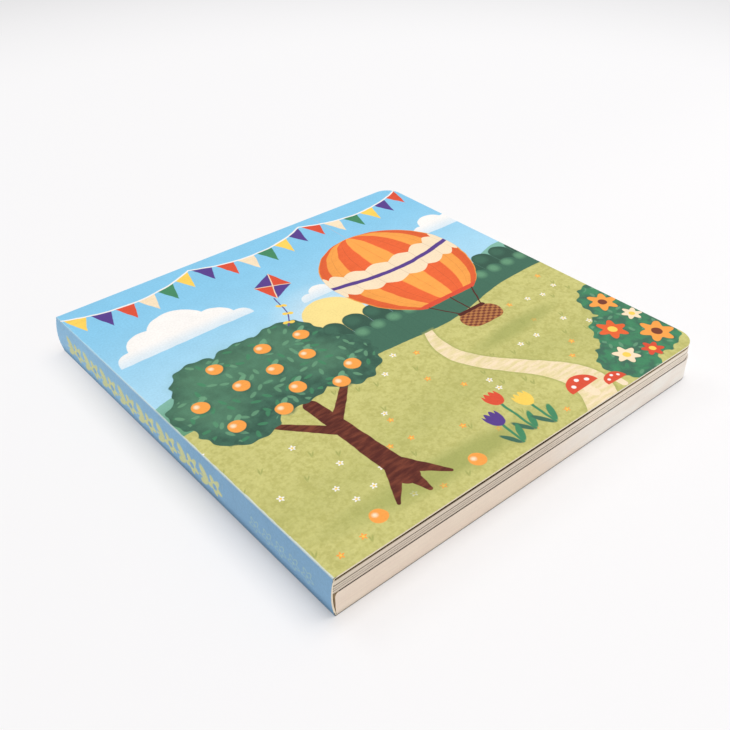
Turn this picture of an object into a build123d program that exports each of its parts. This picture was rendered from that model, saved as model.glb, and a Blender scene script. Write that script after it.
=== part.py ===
from build123d import *
import math
import os

# A square board book, closed and lying on its back cover.
# X runs from the spine to the fore edge, Y from the tail edge to the head edge, and Z up.
# The origin is on the surface that the book lies on, under the middle of the whole book.

# Driving dimensions, in millimetres
page_width = 180.0  # crease of the spine to the trimmed fore edge
page_height = 180.0  # tail edge to head edge
corner_radius = 8.0  # fore corners of the front cover and the leaves, seen from above
lower_corner_radius = 6.5  # fore corners of the base board and the back cover

card_thickness = 0.6  # printed card that the covers and the spine are folded from
cover_bow = 0.2  # lift of the front cover in the middle of its width
spine_bulge = 1.0  # how far the spine card bows out between its two creases
crease_clearance = 0.1  # each end of the spine card to the cover that turns beside it

leaf_thicknesses = (2.05, 0.9, 0.78, 1.06)  # board leaves, from the top down
leaf_setbacks = (0.05, 0.0, 0.06, 0.1)  # how far each leaf's trimmed edges stand back
leaf_gap = 0.18  # open line between two leaves at their edges
leaf_gap_depth = 0.8  # how deep that line runs in from the edges
fold_radius = 0.5  # eased corners where a leaf is folded at the spine

base_thickness = 9.0  # solid board under the leaves
base_gap = 0.3  # open line between the last leaf and the base board
base_inset = 0.5  # spine side of the base board, inwards from the creases
base_top_round = 1.6  # upper edge of the base board at the spine
base_bottom_round = 1.0  # lower edge of the base board at the spine

glue_line = 0.05  # folded ends of the leaves to the spine card
front_clearance = 0.67  # edges of the front cover above the first leaf
back_clearance = 0.1  # base board above the back cover

# Levels, from the bottom up
base_bottom = card_thickness + back_clearance
base_top = base_bottom + base_thickness
leaves_bottom = base_top + base_gap
leaves_height = sum(leaf_thicknesses) + leaf_gap * (len(leaf_thicknesses) - 1)
leaves_top = leaves_bottom + leaves_height
front_bottom = leaves_top + front_clearance
book_top = front_bottom + card_thickness

# Places along X
crease_x = spine_bulge / 2 - page_width / 2
fore_x = crease_x + page_width
middle_x = (crease_x + fore_x) / 2

# The two creases: each cover turns about the middle of its card's thickness
hinge_x = crease_x + card_thickness / 2
front_hinge_z = book_top - card_thickness / 2
back_hinge_z = card_thickness / 2

# The spine card is a shallow arc from crease to crease
spine_low = card_thickness + crease_clearance
spine_high = book_top - card_thickness - crease_clearance
spine_middle = (spine_low + spine_high) / 2
spine_half = (spine_high - spine_low) / 2
spine_radius = (spine_half**2 + spine_bulge**2) / (2 * spine_bulge)
spine_centre_x = crease_x - spine_bulge + spine_radius

cut_margin = 5.0  # how far a cutting shape runs past what it trims


def spine_arc_x(height, depth):
    """X of the spine arc at a height, for a surface that lies depth inside the outer face."""
    return spine_centre_x - math.sqrt((spine_radius - depth) ** 2 - (height - spine_middle) ** 2)


def spine_arc(low, high, depth):
    """The stretch of that surface between two heights, as an arc of the XZ section."""
    heights = (low, (low + high) / 2, high)
    return ThreePointArc(*[(spine_arc_x(height, depth), height) for height in heights])


def drawn_out(section):
    """A solid with this XZ section, as long as the book is high."""
    return extrude(section, amount=page_height / 2, both=True)


def trimmed(solid, radius, setback=0.0):
    """The solid as the trimmer leaves it: cut square at tail and head, round at the fore corners."""
    spine_side = crease_x - spine_bulge - cut_margin
    fore_side = fore_x - setback
    plan = Rectangle(fore_side - spine_side, page_height - 2 * setback)
    plan = Pos((spine_side + fore_side) / 2, 0) * plan
    fore_corners = plan.vertices().group_by(Axis.X)[-1]
    plan = fillet(fore_corners, radius - setback)
    height = book_top + cover_bow + 2 * cut_margin
    return solid & Pos(0, 0, -cut_margin) * extrude(plan, amount=height)


def make_front_cover():
    """Card panel with a slight bow across its width, and a round edge along its crease."""
    with BuildSketch(Plane.XZ) as section:
        with BuildLine():
            above = ThreePointArc((hinge_x, book_top), (middle_x, book_top + cover_bow), (fore_x, book_top))
            below = ThreePointArc(
                (hinge_x, front_bottom), (middle_x, front_bottom + cover_bow), (fore_x, front_bottom)
            )
            Line(above @ 0, below @ 0)
            Line(above @ 1, below @ 1)
        make_face()
        with Locations((hinge_x, front_hinge_z)):
            Circle(card_thickness / 2)
    return trimmed(drawn_out(section.sketch), corner_radius)


def make_back_cover():
    """Flat card panel that the book lies on, with a round edge along its crease."""
    with BuildSketch(Plane.XZ) as section:
        with Locations(((hinge_x + fore_x) / 2, back_hinge_z)):
            Rectangle(fore_x - hinge_x, card_thickness)
        with Locations((hinge_x, back_hinge_z)):
            Circle(card_thickness / 2)
    return trimmed(drawn_out(section.sketch), lower_corner_radius)


def make_spine():
    """Card between the two creases, bowed outwards, of even thickness."""
    with BuildSketch(Plane.XZ) as section:
        with BuildLine():
            outside = spine_arc(spine_low, spine_high, 0)
            inside = spine_arc(spine_low, spine_high, card_thickness)
            Line(outside @ 0, inside @ 0)
            Line(outside @ 1, inside @ 1)
        make_face()
    return drawn_out(section.sketch)


def make_leaf(bottom, top, setback):
    """One board leaf: its folded end lies along the spine card, and its corners there are eased."""
    fold_depth = card_thickness + glue_line
    ease = min(fold_radius, 0.45 * (top - bottom))
    with BuildSketch(Plane.XZ) as section:
        with BuildLine():
            fold = spine_arc(bottom, top, fold_depth)
            Polyline(fold @ 1, (fore_x, top), (fore_x, bottom), fold @ 0)
        make_face()
        fold_corners = section.vertices().filter_by(lambda corner: corner.X < middle_x)
        fillet(fold_corners, ease)
    return trimmed(drawn_out(section.sketch), corner_radius, setback)


def make_leaves():
    """The leaves as one bound stack: they part only in an open line round their edges."""
    bound_depth = leaf_gap_depth + max(leaf_setbacks)
    bound_low_x = crease_x + card_thickness + bound_depth
    bound_high_x = fore_x - bound_depth
    bound_top = leaves_top - leaf_thicknesses[0] / 2
    bound = Box(
        bound_high_x - bound_low_x,
        page_height - 2 * bound_depth,
        bound_top - base_top,
        align=(Align.MIN, Align.CENTER, Align.MIN),
    )
    stack = trimmed(Pos(bound_low_x, 0, base_top) * bound, corner_radius, bound_depth)
    top = leaves_top
    for thickness, setback in zip(leaf_thicknesses, leaf_setbacks):
        bottom = top - thickness
        stack += make_leaf(bottom, top, setback)
        top = bottom - leaf_gap
    return stack


def make_base_board():
    """Thick solid board, rounded along the spine, where a hollow parts it from the spine card."""
    spine_side = crease_x + base_inset
    with BuildSketch(Plane.XZ) as section:
        with Locations(((spine_side + fore_x) / 2, (base_bottom + base_top) / 2)):
            Rectangle(fore_x - spine_side, base_thickness)
        spine_corners = section.vertices().group_by(Axis.X)[0].sort_by(Axis.Y)
        fillet(spine_corners[0], base_bottom_round)
        fillet(section.vertices().group_by(Axis.Y)[-1].sort_by(Axis.X)[0], base_top_round)
    return trimmed(drawn_out(section.sketch), lower_corner_radius)


parts = {
    "front_cover": make_front_cover(),
    "spine": make_spine(),
    "back_cover": make_back_cover(),
    "board_leaves": make_leaves(),
    "base_board": make_base_board(),
}

os.makedirs("parts", exist_ok=True)
for name, part in parts.items():
    export_step(part, f"parts/{name}.step")
    box = part.bounding_box()
    print(name, len(part.solids()), "solid", round(part.volume), "mm3, from", box.min, "to", box.max)

print("front crease at x", round(hinge_x, 3), "z", round(front_hinge_z, 3))
print("back crease at x", round(hinge_x, 3), "z", round(back_hinge_z, 3))
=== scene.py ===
# %% [markdown]
# # A board book, dressed for its picture
# The frame holds five solids: two covers and a spine of folded printed card, a stack of board
# leaves, and one thick board under them. Nothing here moves or resizes them. This lesson paints
# the card, gives the cut board its fibre, closes the two creases with thin folds of card, and
# sets a pale studio round the book.

# %% Load the frame
import math
from functools import reduce

import bmesh
import bpy
from mathutils import Matrix, Vector


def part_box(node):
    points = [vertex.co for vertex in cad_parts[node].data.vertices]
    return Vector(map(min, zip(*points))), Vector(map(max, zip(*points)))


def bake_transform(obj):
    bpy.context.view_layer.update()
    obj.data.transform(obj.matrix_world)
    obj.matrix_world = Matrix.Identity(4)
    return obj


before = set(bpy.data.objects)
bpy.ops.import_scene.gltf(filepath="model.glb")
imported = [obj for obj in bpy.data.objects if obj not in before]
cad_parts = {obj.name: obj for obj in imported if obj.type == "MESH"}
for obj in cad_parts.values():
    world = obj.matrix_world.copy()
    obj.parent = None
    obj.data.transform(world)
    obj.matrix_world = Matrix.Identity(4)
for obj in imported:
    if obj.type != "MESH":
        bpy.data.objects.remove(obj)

bpy.context.view_layer.update()

# %% [markdown]
# ## Sizes
# The boxes of the five solids are read from the frame, and the card, the creases and the cut edges
# are placed by them. A box doesn't tell how thick one leaf is or how round a corner is, so those
# few sizes are typed in again where they are used. The book is drawn in millimetres here, because
# its details are tenths of a millimetre: print, folds and gaps. One factor turns them into
# Blender's metres. The floor and the lamps are given in metres.

# %% Sizes of the book, in millimetres
MM = 0.001


def box_mm(node):
    """Lowest and highest corner of a node, in millimetres."""
    low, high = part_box(node)
    return low / MM, high / MM


cover_low, cover_high = box_mm("front_cover")
back_low, back_high = box_mm("back_cover")
spine_low, spine_high = box_mm("spine")
leaves_low, leaves_high = box_mm("board_leaves")
base_low, base_high = box_mm("base_board")
crease_x = cover_low.x
fore_x = cover_high.x
tail_y = cover_low.y
card = back_high.z - back_low.z
hinge_x = crease_x + card / 2
front_hinge_z = cover_low.z + card / 2
back_hinge_z = back_low.z + card / 2
page_width = fore_x - crease_x
page_height = cover_high.y - cover_low.y
print("page", round(page_width, 1), "by", round(page_height, 1), "mm, card", round(card, 2), "mm")

# %% [markdown]
# ## Camera
# The photograph looks down on the corner where the spine meets the tail edge. The camera is built
# from its place and three angles rather than aimed at a point, because a slight roll has to be
# kept. Its lens comes from the focal length in pixels of the 730 pixel frame.

# %% Camera
PHOTO_SIDE = 730
FOCAL_PIXELS = 914.6
SENSOR = 36.0
camera_spot = Vector((-192.0, -229.8, 219.0)) * MM
azimuth, elevation, roll = (math.radians(angle) for angle in (-39.63, 36.34, -1.05))
backwards = Vector(
    (math.sin(azimuth) * math.cos(elevation), -math.cos(azimuth) * math.cos(elevation), math.sin(elevation))
)
level_right = Vector((math.cos(azimuth), math.sin(azimuth), 0))
level_up = backwards.cross(level_right)
right = level_right * math.cos(roll) + level_up * math.sin(roll)
up = backwards.cross(right)
camera = bpy.data.objects.new("camera", bpy.data.cameras.new("camera"))
camera.matrix_world = Matrix.Translation(camera_spot) @ Matrix((right, up, backwards)).transposed().to_4x4()
camera.data.sensor_fit = "HORIZONTAL"
camera.data.sensor_width = SENSOR
camera.data.lens = SENSOR * FOCAL_PIXELS / PHOTO_SIDE
camera.data.clip_start = 0.01
bpy.context.scene.collection.objects.link(camera)
bpy.context.scene.camera = camera
bpy.context.scene.view_settings.view_transform = "Standard"
print("camera lens", round(camera.data.lens, 2), "mm")

# %% [markdown]
# ## Wiring
# A picture made of nodes has hundreds of them, so they need a short way of writing. A wire stands
# for one output of a node, and sums of wires add Math nodes.

# %% Wires


class Wire:
    """One output of a node. Sums and products of wires add Math nodes to the same tree."""

    def __init__(self, tree, socket):
        self.tree = tree
        self.socket = socket

    def __add__(self, other):
        return reckon("ADD", self, other)

    def __sub__(self, other):
        return reckon("SUBTRACT", self, other)

    def __rsub__(self, other):
        return reckon("SUBTRACT", other, self)

    def __mul__(self, other):
        return reckon("MULTIPLY", self, other)

    def __truediv__(self, other):
        return reckon("DIVIDE", self, other)


def feed(socket, value):
    """Links a wire to an input, or writes a plain value there."""
    if isinstance(value, Wire):
        value.tree.links.new(value.socket, socket)
    elif isinstance(value, tuple):
        size = len(socket.default_value)
        socket.default_value = (*value, 0.0, 0.0)[:3] if size == 3 else (*value[:3], 1.0)
    else:
        socket.default_value = value


# %% Nodes and sums


def add_node(kind, *values, **settings):
    """A new node in the tree of the first wire, with its inputs fed in order."""
    tree = next(value.tree for value in values if isinstance(value, Wire))
    node = tree.nodes.new(kind)
    for name, setting in settings.items():
        setattr(node, name, setting)
    for socket, value in zip(node.inputs, values):
        feed(socket, value)
    return node


def output(node, name):
    """One output of a node as a wire."""
    return Wire(node.id_data, node.outputs[name])


def reckon(operation, *values, clamp=False):
    """A sum of numbers."""
    return output(add_node("ShaderNodeMath", *values, operation=operation, use_clamp=clamp), 0)


def reckon_vector(operation, *values, result="Vector"):
    """A sum of vectors, which gives a vector, or a number if the result is Value."""
    return output(add_node("ShaderNodeVectorMath", *values, operation=operation), result)


def split(vector):
    """The three parts of a vector."""
    return [Wire(vector.tree, socket) for socket in add_node("ShaderNodeSeparateXYZ", vector).outputs]


def join(x, y, z=0.0):
    """A vector of three parts."""
    return output(add_node("ShaderNodeCombineXYZ", x, y, z), 0)


def blend(share, first, second):
    """A colour between two others."""
    node = add_node("ShaderNodeMix", share, data_type="RGBA")
    feed(node.inputs[6], first)
    feed(node.inputs[7], second)
    return output(node, 2)


def times(vector, factor):
    """A vector or a colour times a number."""
    tree = next(value.tree for value in (vector, factor) if isinstance(value, Wire))
    node = tree.nodes.new("ShaderNodeVectorMath")
    node.operation = "SCALE"
    feed(node.inputs[0], vector)
    feed(node.inputs["Scale"], factor)
    return output(node, 0)


# %% Masks, noise and colour


def step(depth, blur=0.14):
    """1 where the depth is above zero, with a soft edge."""
    return reckon("MULTIPLY_ADD", depth, 0.5 / blur, 0.5, clamp=True)


def ramp(value, start, end):
    """0 at the start and 1 at the end, eased between them."""
    node = add_node("ShaderNodeMapRange", value, start, end, interpolation_type="SMOOTHSTEP")
    return output(node, "Result")


def noise(place, size, detail=2.0, stretch=(1.0, 1.0, 1.0), offset=0.0):
    """Noise from about 0 to 1, with lumps of one size. Another offset gives other lumps."""
    moved = reckon_vector("MULTIPLY_ADD", place, stretch, (offset, offset, offset))
    node = add_node("ShaderNodeTexNoise", moved)
    feed(node.inputs["Scale"], 1.0 / size)
    feed(node.inputs["Detail"], detail)
    return output(node, "Fac")


def any_of(depths):
    """How far a place lies inside a shape that is made of several."""
    return reduce(lambda first, second: reckon("MAXIMUM", first, second), depths)


def both(first, second):
    """How far a place lies inside the stretch that two shapes share."""
    return reckon("MINIMUM", first, second)


def srgb(red, green, blue):
    """A colour as a picture file names it, from 0 to 255, in Blender's linear numbers."""
    parts = [part / 255 for part in (red, green, blue)]
    return tuple(part / 12.92 if part <= 0.04045 else ((part + 0.055) / 1.055) ** 2.4 for part in parts)


print("half grey of a picture file is", round(srgb(128, 128, 128)[0], 3), "in linear light")

# %% Groups
SOCKETS = {"number": "NodeSocketFloat", "vector": "NodeSocketVector", "colour": "NodeSocketColor"}


def new_group(name, inputs, outputs):
    """A node group with named sockets. Gives its input wires and its output node's sockets."""
    tree = bpy.data.node_groups.new(name, "ShaderNodeTree")
    for label, kind in inputs.items():
        tree.interface.new_socket(label, in_out="INPUT", socket_type=SOCKETS[kind])
    for label, kind in outputs.items():
        tree.interface.new_socket(label, in_out="OUTPUT", socket_type=SOCKETS[kind])
    entry = tree.nodes.new("NodeGroupInput")
    leave = tree.nodes.new("NodeGroupOutput")
    return [Wire(tree, entry.outputs[label]) for label in inputs], leave.inputs


def use_group(group, result, **values):
    """Places a group in a tree and gives one of its outputs."""
    tree = next(value.tree for value in values.values() if isinstance(value, Wire))
    node = tree.nodes.new("ShaderNodeGroup")
    node.node_tree = bpy.data.node_groups[group]
    for label, value in values.items():
        feed(node.inputs[label], value)
    return output(node, result)


print("kinds of socket:", ", ".join(SOCKETS))

# %% [markdown]
# ## Brushes
# A printed picture is built from a few kinds of mark. Each brush says how deep inside the mark a
# place lies, in millimetres, so marks can be joined, cut from each other and softened before any
# ink is laid. The turned oval, the tapered stroke and the ring of petals are node groups, because
# the cover and the spine both use them.

# %% Oval, stroke and petals
(place, centre, radii, turn), oval_out = new_group(
    "oval", {"Place": "vector", "Centre": "vector", "Radii": "vector", "Turn": "number"}, {"Depth": "number"}
)
turned = add_node("ShaderNodeVectorRotate", reckon_vector("SUBTRACT", place, centre), rotation_type="Z_AXIS")
feed(turned.inputs["Angle"], turn * -1.0)
reach = reckon_vector("DIVIDE", output(turned, 0), radii)
radius_along, radius_across, _ = split(radii)
reach = reckon_vector("LENGTH", reach, result="Value")
feed(oval_out["Depth"], (1.0 - reach) * reckon("MINIMUM", radius_along, radius_across))

(place, start, end, start_half, end_half), stroke_out = new_group(
    "stroke",
    {"Place": "vector", "Start": "vector", "End": "vector", "Start Half": "number", "End Half": "number"},
    {"Depth": "number"},
)
run = reckon_vector("SUBTRACT", end, start)
offset = reckon_vector("SUBTRACT", place, start)
share = reckon_vector("DOT_PRODUCT", offset, run, result="Value")
share = reckon("DIVIDE", share, reckon_vector("DOT_PRODUCT", run, run, result="Value"), clamp=True)
distance = reckon_vector("DISTANCE", offset, times(run, share), result="Value")
feed(stroke_out["Depth"], start_half + (end_half - start_half) * share - distance)

(place, centre, radius, count, depth, turn), petals_out = new_group(
    "petals",
    {
        "Place": "vector", "Centre": "vector", "Radius": "number",
        "Count": "number", "Cut": "number", "Turn": "number",
    },
    {"Depth": "number"},
)
offset = reckon_vector("SUBTRACT", place, centre)
x, y, _ = split(offset)
wave = reckon("COSINE", (reckon("ARCTAN2", y, x) + turn) * count) * 0.5 - 0.5
edge = radius * (wave * depth + 1.0)
feed(petals_out["Depth"], edge - reckon_vector("LENGTH", offset, result="Value"))


def dab(place, centre, radius):
    """A round dab."""
    return radius - reckon_vector("DISTANCE", place, (*centre, 0.0), result="Value")


def oval(place, centre, radii, turn=0.0):
    """An oval, turned by an angle in degrees."""
    values = {"Place": place, "Centre": (*centre, 0.0), "Radii": (*radii, 1.0), "Turn": math.radians(turn)}
    return use_group("oval", "Depth", **values)


def stroke(place, start, end, half, end_half=None):
    """A straight stroke with round ends, which may taper."""
    ends = {"Start": (*start, 0.0), "End": (*end, 0.0)}
    halves = {"Start Half": half, "End Half": half if end_half is None else end_half}
    return use_group("stroke", "Depth", **{"Place": place, **ends, **halves})


def petals(place, centre, radius, count, cut=0.5, turn=0.0):
    """A ring of petals."""
    values = {"Place": place, "Centre": (*centre, 0.0), "Radius": radius}
    return use_group("petals", "Depth", **values, **{"Count": count, "Cut": cut, "Turn": math.radians(turn)})


print("brushes:", [group.name for group in bpy.data.node_groups])

# %% [markdown]
# ## Ink on board
# Painted areas of a printed picture are never flat: the paint had a tooth, and the film over it
# shows a fine grain. Both are one group, which every printed face uses: it puts out a shade to
# multiply the ink by, and a height for a faint bump.

# %% Print grain
(place,), grain_out = new_group("print_grain", {"Place": "vector"}, {"Shade": "number", "Height": "number"})
tooth = noise(place, 0.8, detail=2.0)
wash = noise(place, 7.0, detail=3.0, offset=31.0)
feed(grain_out["Shade"], (tooth - 0.5) * 0.24 + (wash - 0.5) * 0.12 + 1.0)
feed(grain_out["Height"], tooth)
print("print grain:", len(place.tree.nodes), "nodes")

# %% [markdown]
# ## The picture on the front cover
# The cover is a scene in flat colours with soft edges: sky, hills, a meadow, a fruit tree, a
# balloon, a kite and a row of flags. It is one group, painted from the sky forwards, so that each
# later coat covers the earlier ones. Places are millimetres from the crease and from the tail edge.

# %% Palette
INK = {
    "sky high": srgb(138, 203, 236),
    "sky low": srgb(178, 222, 243),
    "sun": srgb(250, 226, 146),
    "cloud": srgb(252, 248, 243),
    "cloud shade": srgb(222, 236, 244),
    "far hill": srgb(132, 186, 168),
    "near hill": srgb(104, 158, 122),
    "wood": srgb(58, 92, 77),
    "wood light": srgb(70, 112, 92),
    "leaf light": srgb(110, 162, 126),
    "meadow": srgb(191, 187, 111),
    "meadow light": srgb(207, 203, 128),
    "meadow shade": srgb(168, 172, 98),
    "path": srgb(232, 216, 160),
    "bark": srgb(88, 40, 33),
    "bark light": srgb(126, 66, 48),
    "orange": srgb(235, 104, 56),
    "light orange": srgb(252, 166, 78),
    "cream": srgb(250, 228, 194),
    "yellow": srgb(253, 213, 96),
    "purple": srgb(92, 66, 142),
    "red": srgb(224, 84, 58),
    "green": srgb(72, 140, 100),
    "basket": srgb(188, 126, 74),
    "spine": srgb(148, 192, 226),
    "spine light": srgb(164, 214, 248),
    "spine foot": srgb(116, 156, 188),
    "spine mark": srgb(240, 238, 160),
    "spine line": srgb(196, 226, 214),
    "fold_highlight": srgb(214, 228, 228),
}
print("inks:", len(INK))

# %% A painting and its coats


class Painting:
    """A colour that grows coat by coat over a flat place."""

    def __init__(self, place, colour):
        self.place = place
        self.colour = colour
        self.coats = 0

    def coat(self, depth, ink, blur=0.14, strength=None):
        """Lays an ink where the depth is above zero."""
        mask = step(depth, blur)
        if strength is not None:
            mask = mask * strength
        self.colour = blend(mask, self.colour, INK[ink] if isinstance(ink, str) else ink)
        self.coats += 1

    def report(self, stage):
        """Says how far the painting has come."""
        print(stage + ":", self.coats, "coats so far, in", len(self.place.tree.nodes), "nodes")


def scatter(place, size):
    """Cells strewn at random: the place from a cell's middle, and two numbers of chance."""
    cells = add_node("ShaderNodeTexVoronoi", place, voronoi_dimensions="2D")
    feed(cells.inputs["Scale"], 1 / size)
    chance, hue, _ = split(output(cells, "Color"))
    return reckon_vector("SUBTRACT", place, output(cells, "Position")), chance, hue


(place,), picture_out = new_group("cover_picture", {"Place": "vector"}, {"Color": "colour"})
wobble = add_node("ShaderNodeTexNoise", place)
feed(wobble.inputs["Scale"], 1 / 7)
wobble = reckon_vector("SUBTRACT", output(wobble, "Color"), (0.5, 0.5, 0.5))
place = reckon_vector("MULTIPLY_ADD", wobble, (1.1, 1.1, 0.0), place)
u, v, _ = split(place)
brushwork = noise(place, 1.6, detail=3.0, stretch=(0.25, 1.0, 1.0), offset=5.0)
mottle = noise(place, 4.0, detail=4.0, offset=17.0)

# %% Sky, sun and clouds
sky = blend(ramp(v, 84.0, 168.0), INK["sky low"], INK["sky high"])
painting = Painting(place, sky)
painting.coat(dab(place, (86, 106), 19), "cloud", blur=9.0, strength=0.35)
painting.coat(dab(place, (86, 106), 13.5), "sun")


def cloud(base, puffs):
    """A cloud with a flat foot, shaded below."""
    body = both(any_of([dab(place, centre, radius) for centre, radius in puffs]), v - base)
    painting.coat(body, blend(ramp(v, base, base + 9.0), INK["cloud shade"], INK["cloud"]))


cloud(130.0, [((10, 131), 7), ((20, 137), 10), ((34, 140), 13), ((48, 135), 9), ((58, 131), 5)])
cloud(131.0, [((162, 133), 6), ((171, 137), 8), ((180, 134), 7)])
cloud(121.0, [((86, 122), 4), ((93, 124), 5.5), ((101, 122), 4)])
painting.report("sky")

# %% [markdown]
# ### Ground and woods
# Rolling ground is a sum of sine waves, which is cheap, smooth and easy to change. A row of round
# tree tops is one top, repeated by the remainder of the place. Each top is lowered by a number of
# chance that belongs to its own stretch, so the row doesn't look stamped.

# %% Hills and wood


def rolling(level, *waves):
    """Height of rolling ground: a level and waves of (height, length, start)."""
    ground = level
    for height, length, start in waves:
        ground = reckon("SINE", u / length + start) * height + ground
    return ground


far_ground = rolling(96.0, (7.0, 25.0, 0.4), (2.0, 9.0, 1.0))
painting.coat(far_ground - v, blend(ramp(v, 84.0, 104.0), INK["near hill"], INK["far hill"]))
near_ground = rolling(86.0, (5.0, 19.0, 2.6))
painting.coat(near_ground - v, "near hill")


def tree_row(spacing, level, start, ink, light):
    """Round tree tops side by side along the hill, each a little different."""
    number = reckon("FLOOR", u / spacing)
    chance = output(add_node("ShaderNodeTexWhiteNoise", number, noise_dimensions="1D"), "Value")
    top = join(u - (number + 0.5) * spacing, v - chance * 4.0 - level)
    across, above, _ = split(top)
    from_middle = join(across, reckon("MAXIMUM", above, 0.0))
    inside = spacing / 2 - reckon_vector("LENGTH", from_middle, result="Value")
    row = both(inside, u - start)
    painting.coat(row, ink)
    lit = reckon_vector("DISTANCE", top, (-1.0, 1.0, 0.0), result="Value")
    painting.coat(both(row, spacing * 0.3 - lit), light, blur=1.2, strength=0.8)


tree_row(10.5, 95.0, 68.0, "wood", "wood light")
tree_row(8.3, 86.0, 72.0, "wood light", "leaf light")
painting.report("hills and wood")

# %% Meadow and path
meadow_ground = rolling(77.0, (4.5, 34.0, 1.9), (1.2, 11.0, 0.2))
dabbed = noise(place, 1.5, detail=3.0, offset=47.0) * 0.6 + mottle * 0.4
meadow = blend(ramp(dabbed, 0.36, 0.6), INK["meadow"], INK["meadow light"])
painting.coat(meadow_ground - v, meadow)
fold_ground = rolling(40.0, (5.0, 31.0, 4.4))
painting.coat(both(fold_ground - v, v - fold_ground + 16.0), "meadow shade", blur=9.0, strength=0.3)
bend = reckon("SINE", v / 15.0 + 0.6) * (17.0 - v * 0.12)
half_path = 8.5 - v * 0.088
path_depth = both(half_path - reckon("ABSOLUTE", u - bend - 112.0), meadow_ground - v)
painting.coat(path_depth + 0.9, "meadow shade", blur=0.6, strength=0.6)
painting.coat(path_depth, blend(ramp(brushwork, 0.3, 0.7), INK["path"], INK["cream"]))
painting.report("meadow")

# %% [markdown]
# ### Small things in the meadow
# Hundreds of tiny flowers could be drawn one by one. A Voronoi texture needs only one flower and
# one tuft of grass: it parts the meadow into cells, and each cell's own number of chance says
# whether it holds the flower, the tuft or nothing.

# %% Tiny flowers and grass in the meadow
local, chance, hue = scatter(place, 8.5)
ground = both(meadow_ground - v - 2.0, path_depth * -1.0 - 1.5)
sown = both(ground, (chance - 0.72) * 20.0)
blossom = use_group("petals", "Depth", Place=local, Radius=1.35, Count=5.0, Cut=0.55)
painting.coat(both(blossom, sown), blend(step(hue - 0.5, 0.01), INK["cloud"], INK["light orange"]))
painting.coat(both(dab(local, (0, 0), 0.45), sown), "yellow")
grown = both(ground, (0.3 - chance) * 20.0)
blades = any_of([oval(local, (0, 0.9), (1.5, 0.3), 78), oval(local, (0.7, 0.5), (1.3, 0.28), 48)])
painting.coat(both(blades, grown), "meadow shade", strength=0.9)
painting.report("tiny flowers")

# %% [markdown]
# ### The fruit tree
# The trunk is a union of tapered strokes, and the crown is a union of round dabs whose outline is
# broken by two sine waves. Small leaves, each turned its own way, give the crown its texture, and
# soft patches give every clump a lit side. Each fruit on the tree is a shadow, a leaf, a dab and
# a highlight.

# %% Fruit tree
painting.coat(oval(place, (58, 12), (40, 5.4), -3), "meadow shade", blur=2.5, strength=0.9)
trunk = [
    stroke(place, (45, 18), (43, 66), 4.4, 3.0),
    stroke(place, (43.5, 23), (34, 10), 3.2, 0.7),
    stroke(place, (46.5, 23), (57, 10), 3.2, 0.7),
    stroke(place, (45, 20), (46, 8.5), 3.6, 0.9),
    stroke(place, (43, 48), (22, 70), 2.3, 1.2),
    stroke(place, (43, 52), (66, 74), 2.3, 1.2),
]
painting.coat(any_of(trunk), blend(ramp(brushwork, 0.35, 0.75), INK["bark"], INK["bark light"]))
CROWN = [((43, 92), 24), ((20, 79), 16), ((67, 82), 17), ((24, 101), 15), ((61, 102), 15), ((12, 90), 11)]
crown = any_of([dab(place, centre, radius) for centre, radius in CROWN])
crown = crown + reckon("SINE", u * 0.9) * 0.5 + reckon("SINE", v * 1.0) * 0.5
painting.coat(crown, blend(ramp(mottle, 0.3, 0.7), INK["wood"], INK["wood light"]))
for (x, y), radius in CROWN:
    lit = dab(place, (x - radius * 0.22, y + radius * 0.3), radius * 0.62)
    painting.coat(both(crown - 1.0, lit), "leaf light", blur=radius * 0.3, strength=0.34)


def strew_leaves(inside, size, radii):
    """Small leaves strewn over a crown, each turned its own way."""
    local, chance, hue = scatter(place, size)
    turned = add_node("ShaderNodeVectorRotate", local, rotation_type="Z_AXIS")
    feed(turned.inputs["Angle"], hue * 6.28)
    leaf = both(oval(output(turned, 0), (0, 0), radii), both(inside, (chance - 0.3) * 20.0))
    painting.coat(leaf, blend(step(chance - 0.62, 0.01), INK["green"], INK["leaf light"]), strength=0.75)


strew_leaves(crown - 1.5, 4.6, (1.9, 0.8))
FRUIT = [
    (17, 74), (31, 92), (46, 78), (61, 92), (35, 71), (70, 76), (50, 106), (13, 91), (29, 107), (46, 92),
    (60, 70), (67, 104),
]
for x, y in FRUIT:
    painting.coat(dab(place, (x + 0.5, y - 0.7), 3.5), "wood", blur=0.7, strength=0.6)
    painting.coat(oval(place, (x + 2.4, y + 3.3), (2.5, 1.05), 35), "leaf light")
    painting.coat(dab(place, (x, y), 3.3), "light orange")
    painting.coat(dab(place, (x - 0.9, y + 1.0), 1.0), "cream", blur=0.5)
for x, y in [(26, 10), (67, 8)]:
    painting.coat(dab(place, (x, y), 3.1), "light orange")
    painting.coat(dab(place, (x - 0.8, y + 0.9), 0.9), "cream", blur=0.5)
painting.report("fruit tree")

# %% [markdown]
# ### Balloon, kite and flags
# A striped balloon looks round when its gores narrow towards both sides. The arc sine of the place
# across it gives just that, because it says how far round the balloon a place lies. The kite is a
# sum of two distances, and the flags are one triangle, repeated along a hanging line.

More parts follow.
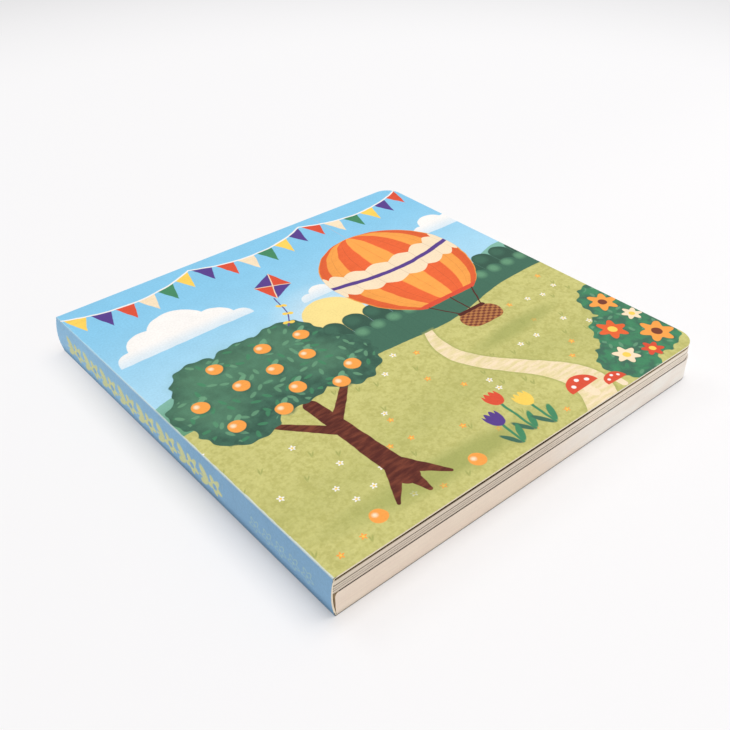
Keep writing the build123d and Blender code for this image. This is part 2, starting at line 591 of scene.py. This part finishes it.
# %% Balloon
BALLOON = (130.0, 121.0)
HALF_WIDE = 33.0
MOUTH = -36.5
painting.coat(oval(place, (133, 52), (21, 4.0), 4), "meadow shade", blur=2.0, strength=0.8)
rise = v - BALLOON[1]
tall = reckon("LESS_THAN", rise, 0.0) * 9.0 + 31.0
half_width = reckon("SQRT", reckon("MAXIMUM", 1.0 - reckon("POWER", rise / tall, 2.0), 0.0)) * HALF_WIDE
sideways = u - BALLOON[0]
envelope = both(half_width - reckon("ABSOLUTE", sideways), rise - MOUTH)
facing = sideways / reckon("MAXIMUM", half_width, 0.1)
gore = reckon("ARCSINE", facing) * (8.0 / math.pi) + 4.0
odd = step(reckon("ABSOLUTE", reckon("FLOORED_MODULO", gore, 2.0) - 1.0) - 0.5, 0.03)
silk = blend(odd, INK["orange"], INK["light orange"])
silk = times(silk, 1.06 - facing * facing * 0.16 + (brushwork - 0.5) * 0.18)
painting.coat(envelope, silk)
level = rise + reckon("COSINE", facing * 1.4) * 6.0 - 6.0
scallop = reckon("ABSOLUTE", reckon("SINE", gore * math.pi)) * 2.4
painting.coat(both(envelope, 6.8 - reckon("ABSOLUTE", level + 4.0) + scallop), "cream")
painting.coat(both(envelope, 1.2 - reckon("ABSOLUTE", level + 4.0)), "purple")
seam = reckon("ABSOLUTE", reckon("FRACT", gore) - 0.5) - 0.485
painting.coat(both(envelope, seam * 20.0), "bark light", strength=0.25)
painting.coat(both(envelope, 2.6 - reckon("ABSOLUTE", rise - MOUTH)), "red")
for start, end in [((117.8, 84.5), (124, 73)), ((142.2, 84.5), (136, 73)), ((130, 84.5), (130, 73))]:
    painting.coat(stroke(place, start, end, 0.32), "bark")
basket = stroke(place, (125.6, 67), (134.4, 67), 5.6)
weave = reckon("SINE", v * 2.6) * reckon("SINE", u * 1.9)
painting.coat(both(basket, 73.2 - v), blend(step(weave, 0.4), INK["basket"], INK["bark light"]))
painting.coat(stroke(place, (123.6, 72.6), (136.4, 72.6), 1.0), "bark")
painting.report("balloon")

# %% Kite
KITE = (80.0, 141.0)
from_kite = reckon_vector("SUBTRACT", place, (*KITE, 0.0))
swing = add_node("ShaderNodeVectorRotate", from_kite, rotation_type="Z_AXIS")
feed(swing.inputs["Angle"], math.radians(24))
across, along, _ = split(output(swing, 0))
kite = (1.0 - reckon("ABSOLUTE", across) / 8.0 - reckon("ABSOLUTE", along) / 10.5) * 6.0
sway = reckon("SINE", along / 5.0) * 1.6
line = reckon("ABSOLUTE", across - sway)
painting.coat(both(both(0.28 - line, along * -1.0 - 10.0), along + 32.0), "purple")
bow_place = join(across - sway, reckon("FLOORED_MODULO", along, 6.5) - 3.25)
bows = both(petals(bow_place, (0, 0), 2.3, 2, 0.8), both(along * -1.0 - 13.0, along + 31.0))
painting.coat(bows, "yellow")
painting.coat(kite, blend(step(across * along, 0.6), INK["purple"], INK["red"]))
painting.coat(both(kite, 0.22 - both(reckon("ABSOLUTE", across), reckon("ABSOLUTE", along))), "cream")
painting.report("kite")

# %% Flags
SWAG = 60.0
FLAG = 10.0
swag = reckon("FRACT", u / SWAG)
hang = 176.0 - swag * (1.0 - swag) * 30.0 - v
number = reckon("FLOOR", u / FLAG)
beside = reckon("ABSOLUTE", reckon("FRACT", u / FLAG) - 0.5) * FLAG
flags = both(4.2 - beside - hang * 0.36, hang)
pick = add_node("ShaderNodeMapRange", reckon("FLOORED_MODULO", number, 5.0) + 0.5, 0.0, 5.0)
hues = add_node("ShaderNodeValToRGB", output(pick, 0))
hues.color_ramp.interpolation = "CONSTANT"
FLAG_INKS = ["yellow", "purple", "red", "cream", "green"]
while len(hues.color_ramp.elements) < len(FLAG_INKS):
    hues.color_ramp.elements.new(0.5)
for place_on_ramp, (element, ink) in enumerate(zip(hues.color_ramp.elements, FLAG_INKS)):
    element.position = place_on_ramp / len(FLAG_INKS)
    element.color = (*INK[ink], 1.0)
painting.coat(flags, times(output(hues, 0), (brushwork - 0.5) * 0.2 + 1.0))
painting.coat(0.45 - reckon("ABSOLUTE", hang), "cloud")
painting.report("flags")

# %% [markdown]
# ### Foreground
# The nearest things are laid last: a bush with flowers, tulips and mushrooms. They need no new
# brush, only other values.

# %% Garden at the near fore edge
GARDEN = [((167, 20), 17), ((180, 38), 16), ((150, 10), 12)]
bush = any_of([dab(place, centre, radius) for centre, radius in GARDEN])
bush = bush + reckon("SINE", u * 1.1) * 0.5 + reckon("SINE", v * 1.2) * 0.5
painting.coat(bush, blend(ramp(mottle, 0.35, 0.65), INK["wood light"], INK["green"]))
strew_leaves(bush - 1.0, 4.0, (1.6, 0.7))
BLOOMS = [
    ((161, 26), 6.4, "orange"), ((174, 41), 6.6, "light orange"), ((173, 14), 7.2, "light orange"),
    ((151, 12), 5.4, "cream"), ((162, 8), 4.6, "red"), ((176, 28), 4.4, "cream"),
]
for centre, radius, ink in BLOOMS:
    painting.coat(petals(place, centre, radius + 0.5, 6, 0.4, turn=20 * radius), "wood", strength=0.5)
    painting.coat(petals(place, centre, radius, 6, 0.4, turn=20 * radius), ink)
    painting.coat(dab(place, centre, radius * 0.3), "bark light" if ink == "light orange" else "yellow")
painting.report("garden")

# %% Tulips and mushrooms
for x, y, height, ink in [(93, 6, 19, "red"), (101, 4, 14, "yellow"), (85, 4, 13, "purple")]:
    painting.coat(stroke(place, (x, y), (x + 1, y + height), 0.55), "green")
    painting.coat(oval(place, (x + 2.8, y + 4), (4.6, 1.3), 62), "green")
    painting.coat(oval(place, (x - 2.4, y + 3.5), (4.2, 1.1), 115), "wood light")
    points = reckon("ABSOLUTE", reckon("SINE", (u - x - 1) * 1.35)) * 2.0 + (y + height + 3.4)
    painting.coat(both(oval(place, (x + 1, y + height + 2.4), (3.5, 5.0)), points - v), ink)
for x, y, size in [(124, 10, 7.0), (136, 5, 4.8)]:
    painting.coat(stroke(place, (x, y - size * 0.7), (x, y), size * 0.28), "cream")
    cap = both(oval(place, (x, y), (size, size * 0.95)), v - (y - 0.5))
    painting.coat(cap, "red")
    for spot in (-0.5, 0.05, 0.52):
        dot = dab(place, (x + spot * size, y + size * (0.62 - abs(spot) * 0.6)), size * 0.13)
        painting.coat(both(dot, cap), "cloud")

feed(picture_out["Color"], times(painting.colour, use_group("print_grain", "Shade", Place=place)))
painting.report("whole picture")

# %% [markdown]
# ## The spine
# The spine carries a row of flowers and leaves in pale yellow green, and a few small outlined
# flowers near the tail. Each row is one motif, repeated by the remainder of the place along the
# spine, so no copy is drawn twice. Painted shade darkens the ink at the foot, where the spine
# turns under.

# %% Spine print
(place,), spine_out = new_group("spine_print", {"Place": "vector"}, {"Color": "colour"})
_, y, z = split(place)
length_along = y - tail_y
cloudy = (noise(place, 20.0, offset=7.0) - 0.5) * 0.6
paling = ramp(length_along / 140.0 + cloudy, 0.2, 1.2)
painting = Painting(place, blend(paling, INK["spine"], INK["spine light"]))
# Painted shade darkens the foot of the spine, less towards the head.
foot_shade_depth = spine_low.z + 2.2 - z
foot_shade_strength = 0.95 - ramp(length_along, 30.0, 170.0) * 0.45
painting.coat(foot_shade_depth, "spine foot", blur=2.4, strength=foot_shade_strength)
middle = (spine_low.z + spine_high.z) / 2
MARKS_START, MARKS_END, MARKS_STEP = 57.0, 171.0, 14.25
band = both(length_along - MARKS_START, MARKS_END - length_along)
repeat = join(reckon("FLOORED_MODULO", length_along - MARKS_START, MARKS_STEP), z - middle)
marks = any_of([
    petals(repeat, (4.7, 0), 4.4, 5, 0.45, 90),
    oval(repeat, (11.3, 1.9), (3.3, 1.5), 38),
    oval(repeat, (11.3, -1.9), (3.3, 1.5), -38),
    stroke(repeat, (9.0, 0), (13.6, 0), 0.5),
])
painting.coat(both(marks, band), "spine mark", blur=0.25, strength=0.85)
painting.coat(both(dab(repeat, (4.7, 0), 1.3), band), "spine", blur=0.25)
SMALL_START, SMALL_END, SMALL_STEP = 8.0, 42.0, 6.8
small = join(reckon("FLOORED_MODULO", length_along - SMALL_START, SMALL_STEP), z - middle)
outline = 0.3 - reckon("ABSOLUTE", petals(small, (3.4, 0), 3.2, 5, 0.45, 90) - 0.3)
outline = any_of([outline, dab(small, (3.4, 0), 0.6)])
small_band = both(length_along - SMALL_START, SMALL_END - length_along)
painting.coat(both(outline, small_band), "spine line", blur=0.3, strength=0.6)
feed(spine_out["Color"], times(painting.colour, use_group("print_grain", "Shade", Place=place)))
painting.report("spine")

# %% [markdown]
# ## Printed card
# The covers and the spine are one sheet of card on the real book: ink and a satin film on the
# outside, plain white inside, and a pale core where it is cut. Which of the three shows depends
# on the way a face looks, so each card material chooses by the object's own normal, which stays
# with the piece when a cover opens. Only the round edge at a crease goes by its place, because
# it is printed all round. The fibre of cut board could be a picture of real board, but noise that
# is stretched along the layers has no seam and no end. Fine specks and faint upright knife marks
# go with it, in one group, because the leaves and the thick board use it too.

# %% Board fibre
(place,), fibre_out = new_group(
    "board_fibre", {"Place": "vector"}, {"Shade": "number", "Warmth": "number", "Height": "number"}
)
layers = noise(place, 1.0, detail=2.0, stretch=(0.05, 0.05, 2.4), offset=3.0)
specks = noise(place, 0.45, detail=1.0, offset=11.0)
knife = noise(place, 1.0, detail=1.0, stretch=(2.2, 2.2, 0.05), offset=23.0)
feed(fibre_out["Shade"], (layers - 0.5) * 0.12 + (specks - 0.5) * 0.07 + (knife - 0.5) * 0.04 + 1.0)
feed(fibre_out["Warmth"], ramp(noise(place, 14.0, stretch=(1.0, 1.0, 2.5), offset=41.0), 0.35, 0.65))
feed(fibre_out["Height"], layers + specks * 0.4 + knife * 0.3)
print("board fibre:", len(place.tree.nodes), "nodes")

# %% Colours of card and board
BOARD = {
    "card core": srgb(246, 232, 206),
    "card pale": srgb(252, 242, 226),
    "lining": srgb(243, 241, 236),
    "page": srgb(240, 236, 226),
    "leaf": srgb(229, 216, 197),
    "leaf pale": srgb(250, 239, 222),
    "base": srgb(247, 230, 211),
    "base pale": srgb(254, 249, 240),
    "flush": srgb(240, 218, 200),
    # The colours from here down are painted shade: in the gaps and slits, under the cover, in the hollow and
    # by the floor.
    "gap_shade": srgb(84, 64, 48),
    "gap pale": srgb(150, 134, 114),
    "gap deep": srgb(44, 29, 18),
    "slit_shade": srgb(126, 106, 88),
    "slit pale": srgb(212, 198, 178),
    "rim_shade": srgb(78, 54, 16),
    "rim near": srgb(108, 88, 52),
    "rim pale": srgb(168, 144, 104),
    "hollow": srgb(206, 186, 156),
    "foot": srgb(112, 96, 82),
    "foot shade far": srgb(82, 76, 88),
}
print("colours of card and board:", len(BOARD))

# %% A finish: material, place, normal and surface
FILM = {"roughness": 0.6, "bump": 0.004, "gloss": 0.12}
RAW_BOARD = {"roughness": 0.8, "bump": 0.01, "gloss": 0.15}


class Finish:
    """A material with its place in millimetres, its normal and its shader."""

    def __init__(self, name, attribute=None):
        self.material = bpy.data.materials.new(name)
        self.material.use_nodes = True
        self.tree = self.material.node_tree
        self.shader = self.tree.nodes["Principled BSDF"]
        known = self.tree.nodes.new("ShaderNodeTexCoord")
        self.normal = Wire(self.tree, known.outputs["Normal"])
        if attribute is None:
            metres = Wire(self.tree, known.outputs["Object"])
        else:
            stored = self.tree.nodes.new("ShaderNodeAttribute")
            stored.attribute_name = attribute
            metres = Wire(self.tree, stored.outputs["Vector"])
        self.place = times(metres, 1 / MM)

    def settle(self, colour, height, roughness, bump, gloss):
        """Feeds the shader. The bump is the height's full travel, in millimetres."""
        feed(self.shader.inputs["Base Color"], colour)
        self.shader.inputs["Roughness"].default_value = roughness
        self.shader.inputs["Specular IOR Level"].default_value = gloss
        relief = self.tree.nodes.new("ShaderNodeBump")
        relief.inputs["Strength"].default_value = 1.0
        relief.inputs["Distance"].default_value = bump * MM
        feed(relief.inputs["Height"], height)
        self.tree.links.new(relief.outputs["Normal"], self.shader.inputs["Normal"])


# %% Cut board, and printed card
PALE_FROM, PALE_TO = 88.0, 122.0


def on_cover(place):
    """A place on the cover: from the crease along X, and from the tail edge along Y."""
    return reckon_vector("MULTIPLY_ADD", place, (1.0, 1.0, 0.0), (-crease_x, -tail_y, 0.0))


def towards_fore(place, start, end):
    """0 near the spine and 1 near the fore edge, with the board's own unevenness."""
    x, _, _ = split(place)
    uneven = (use_group("board_fibre", "Warmth", Place=place) - 0.5) * 16.0
    return ramp(x - crease_x + uneven, start, end)


def cut_board(place, near, pale):
    """Colour of cut board, which pales towards the fore edge."""
    colour = blend(towards_fore(place, PALE_FROM, PALE_TO), BOARD[near], BOARD[pale])
    colour = blend(use_group("board_fibre", "Warmth", Place=place) * 0.3, colour, BOARD["flush"])
    return times(colour, use_group("board_fibre", "Shade", Place=place))


def dress(node, finish):
    """Gives a node of the frame its material."""
    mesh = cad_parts[node].data
    mesh.materials.clear()
    mesh.materials.append(finish.material)
    print(node, "wears", finish.material.name)


def printed(finish, colour):
    """Settles a finish of printed card: satin film with a faint tooth."""
    grain = use_group("print_grain", "Height", Place=finish.place)
    finish.settle(colour, grain, **FILM)


# %% Front cover
finish = Finish("front_cover_card")
_, _, nz = split(finish.normal)
x, _, _ = split(finish.place)
folded = step(hinge_x - x, 0.02)
outside = any_of([step(nz - 0.5, 0.05), folded])
inside = step(-0.5 - nz, 0.05) * (1.0 - folded)
core = blend(inside, cut_board(finish.place, "card core", "card pale"), BOARD["lining"])
printed(finish, blend(outside, core, use_group("cover_picture", "Color", Place=on_cover(finish.place))))
dress("front_cover", finish)

# %% Spine
finish = Finish("spine_card")
nx, _, _ = split(finish.normal)
core = cut_board(finish.place, "card core", "card pale")
printed(finish, blend(step(-0.5 - nx, 0.05), core, use_group("spine_print", "Color", Place=finish.place)))
dress("spine", finish)

# %% Back cover
FOOT_SHADE_HIGH = 0.34
finish = Finish("back_cover_card")
_, _, nz = split(finish.normal)
x, _, z = split(finish.place)
folded = step(hinge_x - x, 0.02)
outside = any_of([step(-0.5 - nz, 0.05), folded])
inside = step(nz - 0.5, 0.05) * (1.0 - folded)
wash = ramp(noise(finish.place, 30.0, offset=7.0), 0.3, 0.7) * 0.3 + 0.35
ink = blend(wash, INK["spine"], INK["spine light"])
ink = times(ink, use_group("print_grain", "Shade", Place=finish.place))
# Painted shade: the lowest part of the card's cut edge, by the floor, is darkened as a contact shadow.
foot = blend(towards_fore(finish.place, 85.0, 150.0), BOARD["foot"], BOARD["foot shade far"])
core = blend(step(FOOT_SHADE_HIGH - z, 0.05), cut_board(finish.place, "card core", "card pale"), foot)
printed(finish, blend(outside, blend(inside, core, BOARD["lining"]), ink))
dress("back_cover", finish)

# %% [markdown]
# ## Leaves and base board
# The cut faces are warm grey on the leaves and paler on the thick board, and both are warmer
# towards the spine. The open lines between the leaves are cut in the solid already, and painted
# shade darkens each a little more, less so towards the fore edge. The faces inside the gaps are
# painted in shade as well. The first page is plain cream. Its border and the edge just below it
# carry painted shade, for the dark line that shows under the cover. The thick board's side at the
# spine shows only in the hollow, and is painted one plain warm shade.

# %% Inside the trimmed edges
LEAF_CORNER = 8.0


def inside_trim(place):
    """How far a place lies inside the trimmed edges and their round fore corners."""
    x, y, _ = split(place)
    past_fore = reckon("MAXIMUM", x - (fore_x - LEAF_CORNER), 0.0)
    past_side = reckon("MAXIMUM", reckon("ABSOLUTE", y) - (page_height / 2 - LEAF_CORNER), 0.0)
    return LEAF_CORNER - reckon_vector("LENGTH", join(past_fore, past_side), result="Value")


# %% Board leaves: the first page
RIM_SHADE = 0.8
PRESSED_FROM, PRESSED_TO = 88.0, 128.0
finish = Finish("board_leaves_cut")
_, _, nz = split(finish.normal)
x, _, z = split(finish.place)
from_edge = inside_trim(finish.place)
pressed = towards_fore(finish.place, PRESSED_FROM, PRESSED_TO)
page = times(BOARD["page"], use_group("print_grain", "Shade", Place=finish.place) * 0.35 + 0.65)
# Painted shade round the first page's border, for the dark line under the cover: lighter near the spine and
# towards the fore edge.
rim_shade = blend(towards_fore(finish.place, 10.0, 60.0), BOARD["rim near"], BOARD["rim_shade"])
rim_shade = blend(towards_fore(finish.place, 100.0, 170.0), rim_shade, BOARD["rim pale"])
page = blend(step(RIM_SHADE - from_edge, 0.1), page, rim_shade)
first_page = both(nz - 0.5, z - (leaves_high.z - 0.05))

# %% Board leaves: cut edges and open lines
FIRST_LEAF = 2.2
TOP_EDGE_SHADE = 0.3
SLIT_FROM = 0.35
HOLLOW_WIDE, HOLLOW_HIGH = 2.2, 0.3
LINE_HALF = 0.16
OPEN_LINES = {2.14: 0.45, 3.22: 0.22, 4.18: 0.28, 5.3: 0.5}
within = any_of([step(reckon("ABSOLUTE", nz) - 0.5, 0.05), step(from_edge - SLIT_FROM, 0.1)])
hollow = step(both(crease_x + HOLLOW_WIDE - x, leaves_low.z + HOLLOW_HIGH - z), 0.1)
within = within * (1.0 - hollow)
# Painted shade along the open lines between the leaves, broken by noise and paler towards the fore edge.
fading = noise(finish.place, 30.0, detail=2.0, stretch=(1.0, 1.0, 6.0), offset=61.0) - 0.5
gap_shade = blend(ramp(pressed * 0.6 + fading, 0.0, 1.0), BOARD["gap_shade"], BOARD["gap pale"])
lower = step(leaves_high.z - FIRST_LEAF - z, 0.1) * (0.05 - pressed * 0.04)
cut = times(cut_board(finish.place, "leaf", "leaf pale"), 1.0 - lower)
for level, strength in OPEN_LINES.items():
    close = LINE_HALF - reckon("ABSOLUTE", leaves_high.z - level - z)
    cut = blend(step(close, 0.22) * strength, cut, gap_shade)
# Painted shade along the top of the first leaf's cut edge, just under the cover.
cut = blend(step(z - leaves_high.z + TOP_EDGE_SHADE, 0.25) * 0.75, cut, rim_shade)
# Painted shade on the faces inside the slits, paler towards the fore edge.
slit_shade = blend(pressed, BOARD["slit_shade"], BOARD["slit pale"])
colour = blend(within, cut, slit_shade)
colour = blend(step(first_page, 0.01), colour, page)
finish.settle(colour, use_group("board_fibre", "Height", Place=finish.place), **RAW_BOARD)
dress("board_leaves", finish)

# %% Base board
TOP_SHADE = 0.12
TOP_ROUND = 1.6
finish = Finish("base_board_cut")
nx, _, nz = split(finish.normal)
x, _, z = split(finish.place)
# Painted shade over the top of the thick board, darker near the spine.
gap_shade = blend(towards_fore(finish.place, PRESSED_FROM, PRESSED_TO), BOARD["gap deep"], BOARD["gap_shade"])
cut = cut_board(finish.place, "base", "base pale")
cut = blend(step(z - base_high.z + TOP_SHADE, 0.2) * 0.4, cut, gap_shade)
level_face = step(reckon("ABSOLUTE", nz) - 0.5, 0.05)
flat = both(level_face, step(inside_trim(finish.place) - 0.02, 0.03))
# Painted shade on the side in the hollow by the spine; the level faces inside the trim take the darker
# shade.
rounded = any_of([step(-0.15 - nx, 0.1), step(base_low.x + TOP_ROUND - x, 0.1) * flat])
colour = blend(rounded, blend(flat, cut, gap_shade), BOARD["hollow"])
finish.settle(colour, use_group("board_fibre", "Height", Place=finish.place), **RAW_BOARD)
dress("base_board", finish)

# %% [markdown]
# ## Creases
# On the real book the card runs on round each crease, while the frame parts it there so that the
# covers can turn. A thin fold of card closes each crease: its section follows the spine, rounds
# the turning edge and lies on the cover, a few hundredths of a millimetre proud, and its ends dip
# into the card. A pale painted highlight runs along the fold, strong on the front crease and faint
# on the back one, weaker towards the head edge, so the band also gives the crease its light line.

# %% Curves of a crease
spine_bulge = crease_x - spine_low.x
spine_half = (spine_high.z - spine_low.z) / 2
spine_radius = (spine_half**2 + spine_bulge**2) / (2 * spine_bulge)


def spine_face(height):
    """X of the spine's outer face at a height."""
    rise = height - (spine_low.z + spine_high.z) / 2
    return crease_x - spine_bulge + spine_radius - math.sqrt(spine_radius**2 - rise**2)


def around(centre_z, radius, angles):
    """Points round a turning edge, at angles in degrees: 180 is outwards and 90 is up."""
    return [
        (hinge_x + radius * math.cos(math.radians(angle)), centre_z + radius * math.sin(math.radians(angle)))
        for angle in angles
    ]


def steps(first, last, count):
    """Evenly spaced numbers."""
    return [first + (last - first) * number / max(count - 1, 1) for number in range(count)]


print("spine: bulge", round(spine_bulge, 2), "mm, radius", round(spine_radius, 1), "mm")

# %% Sections of both creases
PROUD = 0.03
FOLD_DEPTH = 0.25
DIP = 0.05
LAP = 0.9
SPINE_TIP = 1.0
COVER_TIP = 1.1
fold_top = cover_low.z + card


def along_spine(depth, first, last, count):
    """Points on the spine's curve between two heights, some depth inside its outer face."""
    return [(spine_face(height) + depth, height) for height in steps(first, last, count)]


outer = along_spine(DIP, spine_high.z - SPINE_TIP, spine_high.z - SPINE_TIP, 1)
outer += along_spine(-PROUD, spine_high.z - LAP, spine_high.z, 4)
outer += around(front_hinge_z, card / 2 + PROUD, steps(180, 90, 7))
outer += [(hinge_x + LAP, fold_top + PROUD), (hinge_x + COVER_TIP, fold_top - DIP)]
inner = [(hinge_x + LAP, fold_top - FOLD_DEPTH)]
inner += around(front_hinge_z, card / 2 - FOLD_DEPTH, steps(90, 180, 4))
inner += along_spine(FOLD_DEPTH, spine_high.z, spine_high.z - LAP, 3)
front_section = outer + inner

outer = along_spine(DIP, spine_low.z + SPINE_TIP, spine_low.z + SPINE_TIP, 1)
outer += along_spine(-PROUD, spine_low.z + LAP, spine_low.z, 4)
outer += around(back_hinge_z, card / 2 + PROUD * 0.6, steps(180, 240, 6))
inner = around(back_hinge_z, card / 2 - FOLD_DEPTH, steps(240, 180, 3))
inner += along_spine(FOLD_DEPTH, spine_low.z, spine_low.z + LAP, 3)
back_section = outer + inner
print("crease sections:", len(front_section), "and", len(back_section), "points")

# %% Crease bands
LENGTHS = 60


def crease_band(name, section):
    """Draws a section out along the crease as one closed strip."""
    mesh = bpy.data.meshes.new(name)
    rows = [tail_y + page_height * number / LENGTHS for number in range(LENGTHS + 1)]
    points = [(x * MM, y * MM, z * MM) for y in rows for x, z in section]
    count = len(section)
    faces = [tuple(range(count)), tuple(reversed(range(len(points) - count, len(points))))]
    for row in range(LENGTHS):
        for number in range(count):
            following = (number + 1) % count
            low, high = row * count, (row + 1) * count
            faces.append((low + number, high + number, high + following, low + following))
    mesh.from_pydata(points, [], faces)
    rest = mesh.attributes.new("rest", "FLOAT_VECTOR", "POINT")
    rest.data.foreach_set("vector", [part for point in points for part in point])
    band = bpy.data.objects.new(name, mesh)
    bpy.context.scene.collection.objects.link(band)
    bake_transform(band)
    return band


front_band = crease_band(
    "front_crease", front_section,
)
back_band = crease_band(
    "back_crease", back_section,
)


def crease_finish(name, fold_z, pictured, highlight_share):
    """Print on both sides of a fold, with a painted highlight along it. The front fold carries the cover's
    picture.
    """
    finish = Finish(name, attribute="rest")
    x, y, z = split(finish.place)
    past_fold = (x - crease_x) + (z - fold_z)
    ink = use_group("spine_print", "Color", Place=finish.place)
    if pictured:
        over = step(past_fold, 0.1)
        ink = blend(over, ink, use_group("cover_picture", "Color", Place=on_cover(finish.place)))
    # Painted highlight: a pale broken line along the fold, weaker towards the head edge.
    highlight_noise = noise(finish.place, 5.0, detail=4.0, stretch=(0.3, 1.0, 0.3), offset=71.0)
    fold_highlight = step(highlight_noise * 0.9 - 0.05 - reckon("ABSOLUTE", past_fold - 0.1), 0.18)
    highlight_strength = highlight_share - ramp(y - tail_y, 60.0, 175.0) * (0.6 * highlight_share)
    printed(finish, blend(fold_highlight * highlight_strength, ink, INK["fold_highlight"]))
    return finish


cut_end = Finish("crease_cut_end", attribute="rest")
printed(cut_end, cut_board(cut_end.place, "card core", "card pale"))
CREASES = [(front_band, fold_top, True, 0.85), (back_band, back_hinge_z, False, 0.2)]
for band, fold_z, pictured, highlight_share in CREASES:
    fold = crease_finish(band.name + "_card", fold_z, pictured, highlight_share)
    band.data.materials.append(fold.material)
    band.data.materials.append(cut_end.material)
    for end in band.data.polygons[:2]:
        end.material_index = 1
print("crease bands:", len(front_band.data.polygons) + len(back_band.data.polygons), "faces")

# %% [markdown]
# ## Floor and light
# A pale sheet lies under the book and runs far past the picture. One large soft lamp stands over
# the fore edge's side, so the spine gets the least of its light and its shadow is short and soft.
# A weak lamp near the floor lifts the tail edge, and the world fills the rest. These alone make
# the sheet as pale as it should be, but leave the shadow beside the spine too dark, most of all
# towards the head edge. So the camera sees part of the sheet as light of its own, and that part
# grows towards the head edge and away from the book. The far sheet is painted darker, as if its
# light fell off, down to the tone of the world behind it, so no horizon shows. The pale board
# throws light on the sheet in front of the tail edge and washes out the contact shade there, so a
# faint one is painted back.

# %% Floor
SHEET_HALF = 4.0
JUST_UNDER = Matrix.Translation((0, 0, -0.00002))
floor_mesh = bpy.data.meshes.new("floor")
grid = bmesh.new()
bmesh.ops.create_grid(grid, x_segments=1, y_segments=1, size=SHEET_HALF, matrix=JUST_UNDER)
grid.to_mesh(floor_mesh)
grid.free()
floor = bpy.data.objects.new("floor", floor_mesh)
bpy.context.scene.collection.objects.link(floor)
print("floor:", round(2 * SHEET_HALF, 1), "m wide")

# %% Sheet of the floor
GLOW_SHARE = 0.3
HEADWARDS_SHARE = 0.4
HEAD_EDGE = 0.12
FAR_DARKER = 0.24
FAR_FROM, FAR_TO = 0.4, 0.8
CONTACT_DARKER = 0.08
CONTACT_REACH = 0.024
sheet = bpy.data.materials.new("studio_sheet")
sheet.use_nodes = True
tree = sheet.node_tree
matt = tree.nodes["Principled BSDF"]
known = tree.nodes.new("ShaderNodeTexCoord")
spot = Wire(tree, known.outputs["Object"])
x, y, _ = split(spot)
far = ramp(reckon_vector("LENGTH", spot, result="Value"), FAR_FROM, FAR_TO)
spine_end = ramp(x, crease_x * MM - 0.006, crease_x * MM + 0.006)
fore_end = ramp(x, fore_x * MM - 0.01, fore_x * MM + 0.01)
near_tail = 1.0 - ramp(reckon("ABSOLUTE", y - tail_y * MM), 0.0, CONTACT_REACH)
contact = near_tail * spine_end * (1.0 - fore_end)
# Painted shade: the far sheet darker, and a faint contact shadow in front of the tail edge.
tone = (1.0 - far * FAR_DARKER) * (1.0 - contact * CONTACT_DARKER)
feed(matt.inputs["Base Color"], times(srgb(248, 247, 247), tone))
matt.inputs["Roughness"].default_value = 0.9
matt.inputs["Specular IOR Level"].default_value = 0.1
glow = tree.nodes.new("ShaderNodeEmission")
feed(glow.inputs["Color"], times(srgb(250, 249, 250), tone))
glow.inputs["Strength"].default_value = 1.0
seen = tree.nodes.new("ShaderNodeLightPath")
share = reckon("MINIMUM", far + ramp(y, 0.0, HEAD_EDGE) * HEADWARDS_SHARE + GLOW_SHARE, 1.0)
amount = Wire(tree, seen.outputs["Is Camera Ray"]) * share
mixed = tree.nodes.new("ShaderNodeMixShader")
feed(mixed.inputs[0], amount)
tree.links.new(matt.outputs["BSDF"], mixed.inputs[1])
tree.links.new(glow.outputs["Emission"], mixed.inputs[2])
tree.links.new(mixed.outputs["Shader"], tree.nodes["Material Output"].inputs["Surface"])
floor_mesh.materials.append(sheet)
print("sheet:", len(tree.nodes), "nodes")

# %% Lamps and world
WORLD_LIGHT = 0.5
WORLD_SEEN = 0.75
WARM_WHITE = (1.0, 0.985, 0.97)
COOL_WHITE = (0.97, 0.975, 1.0)


def lamp(name, place, size, watts):
    """A square lamp aimed at the book, in metres. The camera doesn't see it."""
    data = bpy.data.lights.new(name, "AREA")
    data.size = size
    data.energy = watts
    data.color = WARM_WHITE
    holder = bpy.data.objects.new(name, data)
    holder.location = place
    holder.rotation_euler = (-Vector(place)).to_track_quat("-Z", "Y").to_euler()
    holder.visible_camera = False
    bpy.context.scene.collection.objects.link(holder)


lamp("softbox", place=(0.6, -0.12, 2.05), size=1.6, watts=30.5)
lamp("low_fill", place=(0.3, -1.9, 0.35), size=0.8, watts=2.6)
world = bpy.data.worlds.new("studio")
bpy.context.scene.world = world
world.use_nodes = True
fill = world.node_tree.nodes["Background"]
feed(fill.inputs["Color"], COOL_WHITE)
seen = world.node_tree.nodes.new("ShaderNodeLightPath")
camera_ray = Wire(world.node_tree, seen.outputs["Is Camera Ray"])
feed(fill.inputs["Strength"], camera_ray * (WORLD_SEEN - WORLD_LIGHT) + WORLD_LIGHT)
print("lights:", [light.name for light in bpy.data.lights], "and the world")

bpy.context.view_layer.update()
